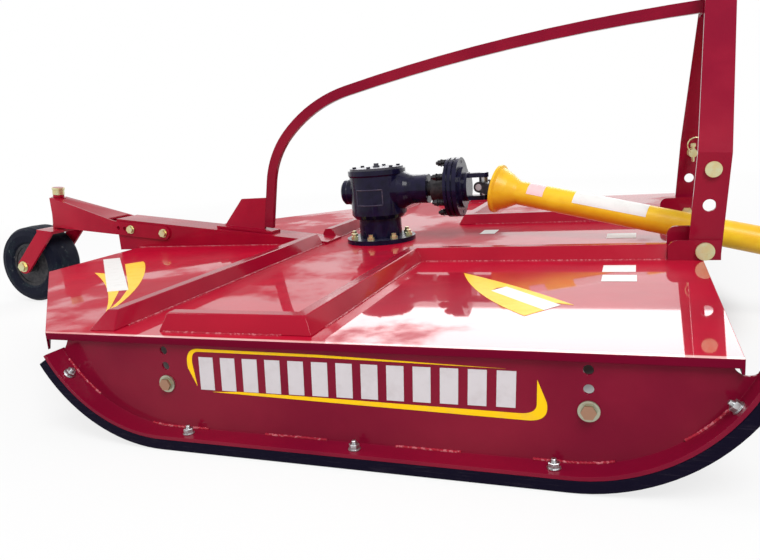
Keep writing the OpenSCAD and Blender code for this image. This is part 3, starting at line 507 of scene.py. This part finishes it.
def sweep(mesh, points, radius, sides=8, closed=False, ripple=0.0, pitch=0.004):
    """A round bead along points; a ripple swells it once each pitch, as weld runs do."""
    rings, run = [], 0.0
    up = Vector((0, 0, 1))
    for i, point in enumerate(points):
        before = points[i - 1] if i or closed else point
        after = points[(i + 1) % len(points)] if i + 1 < len(points) or closed else point
        if i:
            run += (point - points[i - 1]).length
        ahead = (after - before).normalized()
        side = ahead.cross(up)
        side = side.normalized() if side.length > 1e-3 else Vector((1, 0, 0))
        over = side.cross(ahead)
        swell = radius * (1 + ripple * math.sin(math.tau * run / pitch))
        rings.append([
            mesh.verts.new(point + swell * (math.cos(a) * side + math.sin(a) * over))
            for a in (math.tau * k / sides for k in range(sides))
        ])
    for first, second in zip(rings, rings[1:]):
        bridge(mesh, first, second)
    if closed:
        bridge(mesh, rings[-1], rings[0])
    else:
        mesh.faces.new(rings[0])
        mesh.faces.new(rings[-1])


def spaced(points, step):
    """The same path with points about one step apart."""
    out = []
    for a, b in zip(points, points[1:]):
        count = max(1, round((b - a).length / step))
        out += [a.lerp(b, k / count) for k in range(count)]
    return out + [points[-1]]


def slab(mesh, outline, thick, put):
    """A flat sheet with this outline; put maps (u, v, height) to a place."""
    low = [mesh.verts.new(put(u, v, 0.0)) for u, v in outline]
    high = [mesh.verts.new(put(u, v, thick)) for u, v in outline]
    bridge(mesh, low, high)
    mesh.faces.new(low)
    mesh.faces.new(high)


# CAD nodes: softened edges, each with its radius in metres, and finishes

SOFT_EDGES = {
    "deck": 0.0022,
    "side_panel_right": 0.0016,
    "side_panel_left": 0.0016,
    "mast_ears": 0.0016,
    "mast_leg_right": 0.0022,
    "mast_leg_left": 0.0022,
    "top_link_plates": 0.0018,
    "brace_bar": 0.0022,
    "brace_bracket": 0.0016,
    "tail_beam": 0.0018,
    "tail_arm": 0.0018,
    "tail_fork": 0.0018,
    "wear_strip_right": 0.0025,
    "wear_strip_left": 0.0025,
}


def finish_of(node):
    """The node's own finish, or else that of its material slot."""
    return OWN_FINISH.get(node, SLOT_FINISH[SLOT_OF[node]])


def softened(node, width):
    """A copy of a sheet metal node with small round edges, shown in its place."""
    mesh = bmesh.new()
    mesh.from_mesh(nodes[node].data)
    bmesh.ops.remove_doubles(mesh, verts=mesh.verts, dist=2e-6)
    bmesh.ops.dissolve_limit(mesh, angle_limit=math.radians(0.4), verts=mesh.verts, edges=mesh.edges)
    made = piece(node + "_rounded", mesh, BODY_OF[node], finish_of(node), smooth=40)
    round_edges(made, width, 40)
    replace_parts(made, node)


for node, width in SOFT_EDGES.items():
    softened(node, width)
for node, thing in nodes.items():
    thing.data.materials.clear()
    thing.data.materials.append(finish_of(node))

# Weld runs

BEAD = 0.0032
BEAD_STEP = 0.0025
SHAKE = 0.0004


def shaken(point):
    return point + Vector([dice.uniform(-SHAKE, SHAKE) for _ in range(3)])


def weld(name, paths, radius=BEAD):
    mesh = bmesh.new()
    for path in paths:
        loose = [shaken(point) for point in spaced(path, BEAD_STEP)]
        sweep(mesh, loose, radius, sides=6, ripple=0.16, pitch=0.0075)
    piece(name, mesh, "machine", WELD, smooth=60)


def mirrored(paths):
    """The paths and their mirror images on the other side of the machine."""
    return paths + [[Vector((p.x, -p.y, p.z)) for p in path] for path in paths]


def rib_welds():
    """Runs along both feet of the folded stiffeners."""
    apart = 0.001
    half = RIB_BASE / 2 + apart
    paths = []
    for aside in (-half, half):
        side, mast = RIB_LOW.y + RIB_BASE / 2 - aside, RIB_HIGH.y - RIB_BASE / 2 - aside
        cross = AXIS + RIB_CROSS - aside
        corners = ((RIB_LOW.x, side), (cross, side), (cross, mast), (RIB_HIGH.x, mast))
        paths.append([Vector((x, y, DECK_Z)) for x, y in corners])
    low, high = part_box("rear_stiffeners")
    for x in (low.x - apart, high.x + apart):
        paths.append([Vector((x, low.y, DECK_Z)), Vector((x, -BEAM_HIGH.y, DECK_Z))])
    return mirrored(paths)


weld("rib_welds", rib_welds())

# The skid's two bends: centre along X from the gearbox axis, and outer radius
SKID_REAR = (-0.064, 0.351)
SKID_FRONT = (0.777, 0.351)
SKID_TOP = 0.032  # height of the flange's upper face between the bends


def skid_point(x):
    """Height of the flange's upper face at a station along X from the gearbox axis."""
    for (centre, radius), beyond in ((SKID_REAR, x < SKID_REAR[0]), (SKID_FRONT, x > SKID_FRONT[0])):
        if beyond:
            inner = radius - SKID_TOP
            return radius - math.sqrt(inner**2 - (x - centre) ** 2)
    return SKID_TOP


def flange_run(start, end, steps=16):
    """A path in the corner of panel and flange, between two stations along X."""
    stations = (start + (end - start) * k / steps for k in range(steps + 1))
    return [at(x, PANEL_Y - 0.001, skid_point(x) + 0.001) for x in stations]


FLANGE_WELDS = (
    (-0.330, -0.255), (-0.119, 0.024), (0.163, 0.303), (0.449, 0.578), (0.710, 0.850), (0.960, 1.030),
)
weld("flange_welds", mirrored([flange_run(*ends) for ends in FLANGE_WELDS]), 0.0030)

beam_side = BEAM_HIGH.y + 0.0005
beam_ends = (DECK_LOW.x + 0.004, BEAM_HIGH.x - 0.02)
weld("beam_welds", mirrored([[Vector((x, beam_side, DECK_Z)) for x in beam_ends]]))

# Skid bolts

SKID_BOLTS = (-0.312, -0.009, 0.373, 0.750, 1.035)
WASHER = [(0.0115, 0.0), (0.0125, 0.0006), (0.0125, 0.002), (0.0115, 0.0026)]
STUD = [(0.0048, 0.011), (0.0048, 0.0175), (0.004, 0.0185)]
NUT_FLATS, NUT_H = 0.0185, 0.0095
BOLT_SHARE = 0.52  # of the flange's width, from the panel to the bolt


def skid_bolts():
    """Washer, nut and stud end of each bolt that holds a wear strip."""
    mesh = bmesh.new()
    near = 0.002
    for x in SKID_BOLTS:
        slope = (skid_point(x + near) - skid_point(x - near)) / (2 * near)
        out = Vector((-slope, 0, 1)).normalized()
        for side in (-1, 1):
            spot = at(x, side * (-PANEL_Y + FLANGE_W * BOLT_SHARE), skid_point(x))
            place = Matrix.Translation(spot) @ frame_along(out)
            turned(mesh, place, WASHER)
            tightened = Matrix.Rotation(x * 9, 4, "Z")
            hexagon(mesh, lifted(place, WASHER[-1][1]) @ tightened, NUT_FLATS, NUT_H)
            turned(mesh, place, STUD, 16)
    piece("skid_bolts", mesh, "machine", STEEL)


skid_bolts()

# Signs


def on_panel(u, v, height):
    """Side sign place: u along X from the gearbox axis, v up from the ground."""
    return at(u, PANEL_Y - 0.0002 - height, v)


def on_deck(u, v, height):
    """Deck sign place: u along X from the gearbox axis, v along Y."""
    return at(u, v, DECK_Z + 0.0003 + height)


VINYL = 0.0004  # thickness of a sign


def bowed(points, steps=10):
    """A closed outline from points (u, v, corner): a 1 stays a corner, a 0 pulls a smooth bend."""
    out = []
    count = len(points)
    for i, (u, v, corner) in enumerate(points):
        if corner:
            out.append((u, v))
            continue
        a, b = points[i - 1], points[(i + 1) % count]
        for t in (k / steps for k in range(steps + 1)):
            start, pull, end = (1 - t) ** 2, 2 * t * (1 - t), t * t
            out.append((start * a[0] + pull * u + end * b[0], start * a[1] + pull * v + end * b[1]))
    cleaned = []
    for p in out:
        if not cleaned or math.dist(p, cleaned[-1]) > 1e-5:
            cleaned.append(p)
    return cleaned


SIGN_TOP = (
    (-0.008, 0.170, 1), (-0.012, 0.2125, 0), (0.022, 0.2135, 1), (0.300, 0.212, 1), (0.668, 0.2015, 1),
    (0.300, 0.2065, 1), (0.022, 0.207, 1), (0.004, 0.2065, 0), (0.0045, 0.180, 1), (0.010, 0.130, 1),
)
SIGN_FOOT = (
    (0.045, 0.119, 1), (0.300, 0.114, 1), (0.700, 0.1065, 1), (0.744, 0.1055, 0), (0.737, 0.143, 1),
    (0.722, 0.184, 1), (0.720, 0.140, 1), (0.720, 0.1195, 0), (0.690, 0.119, 1), (0.300, 0.1225, 1),
    (0.110, 0.123, 1),
)
BARS, BARS_START, BARS_END = 13, 0.018, 0.700
BAR_LEAN, BAR_SHARE = 0.004, 0.66


def side_sign():
    """Yellow open frame round a row of slanted plain bars."""
    border = bmesh.new()
    for outline in (SIGN_TOP, SIGN_FOOT):
        slab(border, bowed(outline), VINYL, on_panel)
    piece("sign_frame", border, "machine", SIGN_YELLOW, smooth=20)
    bars = bmesh.new()
    pitch = (BARS_END - BARS_START) / BARS
    wide = pitch * BAR_SHARE
    for k in range(BARS):
        u = BARS_START + k * pitch
        top, low = 0.1955 + 0.0025 * k / BARS, 0.123 + 0.006 * k / BARS
        outline = [(u, low), (u + wide, low), (u + wide + BAR_LEAN, top), (u + BAR_LEAN, top)]
        slab(bars, outline, VINYL, on_panel)
    piece("sign_bars", bars, "machine", SIGN_GREY, smooth=20)


side_sign()

FRONT_LEAVES = (
    ((0.446, -0.577, 1), (0.625, -0.730, 0), (0.759, -0.897, 1), (0.705, -0.875, 1),
     (0.588, -0.733, 1), (0.567, -0.745, 1)),
    ((0.446, -0.577, 1), (0.567, -0.745, 1), (0.559, -0.776, 1), (0.703, -0.942, 1),
     (0.669, -0.988, 1), (0.520, -0.820, 0)),
)
REAR_LEAVES = (
    ((-0.817, -0.422, 1), (-0.778, -0.372, 1), (-0.741, -0.409, 1), (-0.460, -0.740, 0),
     (-0.345, -1.055, 1), (-0.378, -0.997, 1), (-0.422, -0.910, 1), (-0.503, -0.780, 1)),
    ((-0.823, -0.565, 1), (-0.774, -0.574, 1), (-0.506, -0.817, 1), (-0.387, -0.987, 1),
     (-0.345, -1.055, 1), (-0.550, -0.780, 0)),
)
LEAF_LABELS = (
    ((-0.995, -0.331), (-0.945, -0.299), (-0.486, -0.800), (-0.542, -0.823)),
    ((0.559, -0.776), (0.588, -0.733), (0.732, -0.899), (0.703, -0.942)),
)
# Low and high u, low and high v of the small labels
SMALL_LABELS = (
    (0.800, 0.880, -0.566, -0.484), (0.803, 0.883, -0.672, -0.602),
    (0.788, 0.878, -0.055, 0.040), (0.345, 0.400, 0.090, 0.180),
)


def deck_signs():
    """Yellow leaves at the front and rear of the near side, with blank labels."""
    for name, leaves in (("front_swoosh", FRONT_LEAVES), ("rear_swoosh", REAR_LEAVES)):
        mesh = bmesh.new()
        for leaf in leaves:
            slab(mesh, bowed(leaf), VINYL, on_deck)
        piece(name, mesh, "machine", SIGN_YELLOW, smooth=20)
    labels = bmesh.new()
    for outline in LEAF_LABELS:
        slab(labels, outline, VINYL * 2, on_deck)
    for u0, u1, v0, v1 in SMALL_LABELS:
        slab(labels, [(u0, v0), (u1, v0), (u1, v1), (u0, v1)], VINYL, on_deck)
    piece("deck_labels", labels, "machine", LABEL_WHITE, smooth=20)


deck_signs()

# Driveline labels and clutch springs

JOINTS = {joint["name"]: joint for joint in frame["joints"]}
SHAFT_DIR = Vector(JOINTS["shaft_telescope"]["axis"]).normalized()
CROSS = Vector(JOINTS["shaft_lift"]["pos_m"])
GUARD_R = 0.0395
SHAFT_UP = (Vector((0, 0, 1)) - SHAFT_DIR * SHAFT_DIR.z).normalized()
SHAFT_SIDE = SHAFT_DIR.cross(SHAFT_UP)


def wrapped(mesh, start, end, low, high, radius, steps=14):
    """A label round the guard tube between two distances and two angles in degrees from straight up."""
    angles = [math.radians(low + (high - low) * k / steps) for k in range(steps + 1)]

    def sheet(reach):
        outward = [reach * (math.cos(a) * SHAFT_UP + math.sin(a) * SHAFT_SIDE) for a in angles]
        return [[mesh.verts.new(CROSS + SHAFT_DIR * s + out) for s in (start, end)] for out in outward]

    inner, outer = sheet(radius + 0.0002), sheet(radius + 0.0002 + VINYL)
    for k in range(steps):
        mesh.faces.new((outer[k][0], outer[k + 1][0], outer[k + 1][1], outer[k][1]))
        mesh.faces.new((inner[k][0], inner[k][1], inner[k + 1][1], inner[k + 1][0]))
        for side in (0, 1):
            mesh.faces.new((inner[k][side], inner[k + 1][side], outer[k + 1][side], outer[k][side]))
    for k in (0, steps):
        mesh.faces.new((inner[k][0], outer[k][0], outer[k][1], inner[k][1]))


def guard_labels():
    for name, ends, angles, vinyl_kind in (
        ("guard_label", (0.318, 0.545), (-20, 78), LABEL_WHITE),
        ("guard_note", (0.165, 0.220), (-10, 78), LABEL_PINK),
    ):
        mesh = bmesh.new()
        wrapped(mesh, *ends, *angles, GUARD_R)
        piece(name, mesh, "implement_shaft", vinyl_kind, smooth=50)


guard_labels()

LYNCH_PIN = [(0.003, -0.030), (0.0048, -0.027), (0.0048, 0.022),
             (0.0085, 0.0225), (0.0085, 0.033), (0.006, 0.035)]
PIN_RING_R, PIN_WIRE_R = 0.026, 0.002
PAST_END = 0.0078  # from the hitch pin's end to the lynch pin's axis


def lynch_pins():
    """Pins with a sprung ring through the free ends of the hitch pins."""
    mesh = bmesh.new()
    for name, side in (("hitch_pin_right", -1), ("hitch_pin_left", 1)):
        low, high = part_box(name)
        end = high.y if side < 0 else low.y
        centre = Vector(((low.x + high.x) / 2, end + side * PAST_END, (low.z + high.z) / 2))
        turned(mesh, Matrix.Translation(centre), LYNCH_PIN, 20)
        hoop = centre + Vector((0.008, 0, 0.028))
        loop = [hoop + PIN_RING_R * Vector((math.cos(a), 0, math.sin(a)))
                for a in (math.tau * k / 40 for k in range(40))]
        sweep(mesh, loop, PIN_WIRE_R, sides=8, closed=True)
    piece("lynch_pins", mesh, "machine", ZINC)


lynch_pins()

CLUTCH_LOW, CLUTCH_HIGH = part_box("slip_clutch")
CLUTCH_BOLTS = 6
CLUTCH_BOLTS_R = (CLUTCH_HIGH.z - CLUTCH_LOW.z) / 2 - 0.016
CLUTCH_BOLT = [(0.006, 0.0), (0.006, 0.043), (0.005, 0.0445)]
SPRING_R, SPRING_WIRE_R, SPRING_TURNS = 0.0098, 0.0022, 3.6
SPRING_FOOT, SPRING_L, SPRING_STEPS = 0.003, 0.020, 70
CLUTCH_WASHERS = ([(0.0135, 0.0), (0.0135, 0.0022)], [(0.013, 0.0245), (0.013, 0.027)])
CLUTCH_NUT_FLATS, CLUTCH_NUT_H = 0.0195, 0.0105


def spring_point(place, share):
    """A point on the coil at a share of its length."""
    turn = math.tau * SPRING_TURNS * share
    height = SPRING_FOOT + SPRING_L * share
    return place @ Vector((SPRING_R * math.cos(turn), SPRING_R * math.sin(turn), height))


def clutch_springs():
    """Coil springs, washers and nuts on the clutch bolts."""
    coils, nuts = bmesh.new(), bmesh.new()
    for k in range(CLUTCH_BOLTS):
        turn = math.tau * (k + 1) / CLUTCH_BOLTS
        radial = Vector((0, -math.sin(turn), math.cos(turn)))
        root = Vector((CLUTCH_LOW.x, 0, INPUT_Z)) + radial * CLUTCH_BOLTS_R
        place = Matrix.Translation(root) @ frame_along((-1, 0, 0))
        helix = [spring_point(place, i / SPRING_STEPS) for i in range(SPRING_STEPS + 1)]
        sweep(coils, helix, SPRING_WIRE_R, sides=7)
        turned(nuts, place, CLUTCH_BOLT, 16)
        for washer in CLUTCH_WASHERS:
            turned(nuts, place, washer, 24)
        hexagon(nuts, lifted(place, CLUTCH_WASHERS[1][1][1]), CLUTCH_NUT_FLATS, CLUTCH_NUT_H)
    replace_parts(piece("clutch_springs", coils, "machine", FORGED), "clutch_bolts")
    piece("clutch_nuts", nuts, "machine", FORGED)


clutch_springs()

# Stiffeners with closed mitres and closed ends

HIP, REAR_HIP = 0.013, 0.045  # how far the free ends lean, at the front and at the rear
RIB_EDGE = 0.0022


def folded(mesh, corners, hip):
    """A trapezoid run along corners on the deck, mitred where it turns; its first end leans by the hip."""
    places = [Vector((x, y, DECK_Z)) for x, y in corners]
    runs = [(after - before).normalized() for before, after in zip(places, places[1:])]
    rows = []
    for here, before, ahead in zip(places, runs[:1] + runs, runs + runs[-1:]):
        bisect = (ahead + before).normalized()
        across = Vector((-bisect.y, bisect.x, 0)) / bisect.dot(ahead)
        top = Vector((0, 0, RIB_H)) + (Vector() if rows else ahead * hip)
        rows.append([mesh.verts.new(corner) for corner in (
            here - across * RIB_BASE / 2, here - across * RIB_TOP / 2 + top,
            here + across * RIB_TOP / 2 + top, here + across * RIB_BASE / 2,
        )])
    for first, second in zip(rows, rows[1:]):
        bridge(mesh, first, second)
    mesh.faces.new(rows[0])
    mesh.faces.new(rows[-1])


def stiffener(node, mesh):
    """Shows the folded mesh in the node's place."""
    made = piece(node + "_folded", mesh, "machine", RED, smooth=20)
    round_edges(made, RIB_EDGE, 20)
    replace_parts(made, node)


def stiffeners():
    for side, node in ((-1, "stiffener_right"), (1, "stiffener_left")):
        mesh = bmesh.new()
        outer, inner = side * (-RIB_LOW.y - RIB_BASE / 2), side * (RIB_BASE / 2 - RIB_HIGH.y)
        cross = AXIS + RIB_CROSS
        folded(mesh, [(RIB_LOW.x - HIP, outer), (cross, outer), (cross, inner), (RIB_HIGH.x, inner)], HIP)
        stiffener(node, mesh)
    rear = bmesh.new()
    low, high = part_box("rear_stiffeners")
    rear_x = (low.x + high.x) / 2
    for side in (-1, 1):
        ends = (side * (high.y + REAR_HIP), side * (BEAM_HIGH.y + 0.0003))
        folded(rear, [(rear_x, y) for y in ends], REAR_HIP)
    stiffener("rear_stiffeners", rear)


stiffeners()

# Kingpin's plated head and the gearbox's blank plate

KING_AT = Vector(JOINTS["tail_swivel"]["pos_m"])
KING_UP = Vector(JOINTS["tail_swivel"]["axis"]).normalized()
SLEEVE_L = 0.133
KING_R = 0.023
CAP_R, CAP_RIM_R = KING_R + 0.0012, KING_R + 0.003
CAP_LOW, CAP_HIGH, CAP_RIM_H = 0.012, 0.0425, 0.010


def kingpin_head():
    """A plated cap with a wider rim on the kingpin's upper end."""
    mesh = bmesh.new()
    place = Matrix.Translation(KING_AT + KING_UP * SLEEVE_L) @ frame_along(KING_UP)
    slope = 0.001
    rim_low = CAP_HIGH - CAP_RIM_H
    profile = [
        (KING_R, CAP_LOW), (CAP_R, CAP_LOW + slope), (CAP_R, rim_low),
        (CAP_RIM_R, rim_low + slope), (CAP_RIM_R, CAP_HIGH - slope), (CAP_RIM_R - slope, CAP_HIGH),
    ]
    turned(mesh, place, profile, 40)
    piece("kingpin_head", mesh, "caster", ZINC)


kingpin_head()

PLATE_LOW, PLATE_HIGH = DECK_Z + 0.138, DECK_Z + 0.192
PLATE_FROM, PLATE_TO = math.radians(-118), math.radians(-62)
PLATE_RIM_R = 0.0022


def gearbox_plate():
    """A blank plate's raised rim, curved round the gearbox's side, in a lighter colour that is a painted
    highlight.
    """
    mesh = bmesh.new()
    low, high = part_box("gearbox_body")
    radius = (high.y - low.y) / 2 - 0.004 + 0.0004
    steps = 14
    angles = [PLATE_FROM + (PLATE_TO - PLATE_FROM) * k / steps for k in range(steps + 1)]
    round_trip = [(a, PLATE_HIGH) for a in angles] + [(a, PLATE_LOW) for a in reversed(angles)]
    path = [Vector((AXIS + radius * math.cos(a), radius * math.sin(a), z)) for a, z in round_trip]
    sweep(mesh, spaced(path + path[:1], 0.004)[:-1], PLATE_RIM_R, sides=6, closed=True)
    piece("gearbox_plate", mesh, "machine", PLATE_RIM_HIGHLIGHT, smooth=60)


gearbox_plate()

# Studio

# The camera's place and axes, solved from the photograph's perspective
CAMERA_AT = at(0.889, -2.3575, 0.6263)
CAMERA_RIGHT = Vector((0.936099, 0.343388, -0.076185))
CAMERA_UP = Vector((-0.002036, 0.221882, 0.975070))
CAMERA_BACK = Vector((0.351732, -0.912607, 0.208403))
LENS, SENSOR = 32.73, 36.0
WHITE = rgb(1, 1, 1)
FLOOR_REACH, FLOOR_Z = 30.0, -0.001
# The floor's painted shadow under the deck, a darker grey patch: about 1 m in radius, centred a little ahead of
# the gearbox axis
UNDER_SCALE = (1.0, 0.95, 0.0)
UNDER_SHIFT = (-AXIS - 0.12, 0.0, 0.0)
SKY_LEVEL = 0.55  # the sky's strength on the machine; the rays that show it see 1


def camera():
    data = bpy.data.cameras.new("camera")
    data.lens, data.sensor_width = LENS, SENSOR
    data.clip_start, data.clip_end = 0.05, 60.0
    made = shown("camera", data)
    turn = Matrix((CAMERA_RIGHT, CAMERA_UP, CAMERA_BACK)).transposed().to_4x4()
    made.matrix_world = Matrix.Translation(CAMERA_AT) @ turn
    bpy.context.scene.camera = made


def soft_light(name, place, size, power):
    """A rectangle lamp that faces the middle of the machine."""
    data = bpy.data.lights.new(name, "AREA")
    data.shape, data.size, data.size_y, data.energy = "RECTANGLE", size[0], size[1], power
    made = shown(name, data)
    centre = (cad_box[0] + cad_box[1]) / 2
    made.matrix_world = Matrix.Translation(place) @ frame_along(Vector(place) - centre)


def seen_ray(f):
    """1 for rays that show the background, straight, in a reflection or through glass."""
    kinds = ("Is Camera Ray", "Is Glossy Ray", "Is Transmission Ray")
    camera_ray, glossy, through = [f.node("ShaderNodeLightPath", out=kind) for kind in kinds]
    return camera_ray.or_more(glossy).or_more(through)


def floor_paper():
    """White paper that glows for the rays that show it, less near by and not at all under the deck, where it is a
    darker grey: a painted shadow.
    """
    f = Finish("floor_white")
    away = f.length(f.place).between(2.2, 6.0, 0.78, 1.0)
    values = {0: f.place, 1: UNDER_SCALE, 2: UNDER_SHIFT}
    under = f.node("ShaderNodeVectorMath", {"operation": "MULTIPLY_ADD"}, values)
    clear = f.length(under).between(0.88, 1.12)
    # Painted shadow: under the deck the paper is a darker grey
    painted_shadow_paper, bright = [
        f.node("ShaderNodeBsdfDiffuse", None, {"Color": colour}, out="BSDF")
        for colour in (rgb(0.30, 0.28, 0.28), rgb(0.80, 0.80, 0.80))
    ]
    glow = f.node("ShaderNodeEmission", None, {"Color": WHITE, "Strength": 1.0}, out="Emission")
    both = f.mix_shaders(seen_ray(f) * (away * clear), f.mix_shaders(clear, painted_shadow_paper, bright), glow)
    f.feed(f.tree.nodes["Material Output"].inputs["Surface"], both)
    return f.material


def pale_floor():
    mesh = bmesh.new()
    corners = ((-1, -1), (1, -1), (1, 1), (-1, 1))
    mesh.faces.new([mesh.verts.new((x * FLOOR_REACH, y * FLOOR_REACH, FLOOR_Z)) for x, y in corners])
    data = bpy.data.meshes.new("floor")
    mesh.to_mesh(data)
    mesh.free()
    data.materials.append(floor_paper())
    shown("floor", data)


class Sky(Finish):
    """The world, written with the same tools as a finish."""

    def __init__(self):
        self.material = bpy.data.worlds.new("studio")
        self.material.use_nodes = True
        self.tree = self.material.node_tree


def studio():
    sky = Sky()
    level = seen_ray(sky) * (1.0 - SKY_LEVEL) + SKY_LEVEL
    values = {"Color": WHITE, "Strength": level}
    back = sky.node("ShaderNodeBackground", None, values, out="Background")
    sky.feed(sky.tree.nodes["World Output"].inputs["Surface"], back)
    bpy.context.scene.world = sky.material
    soft_light("key", (2.2, -3.4, 4.2), (2.3, 2.3), 190)
    soft_light("fill", (-4.0, -1.5, 2.6), (2.1, 2.1), 70)
    soft_light("back", (-0.1, 4.4, 2.7), (4.6, 2.0), 88)


camera()
pale_floor()
studio()
bpy.context.scene.view_settings.view_transform = "Standard"
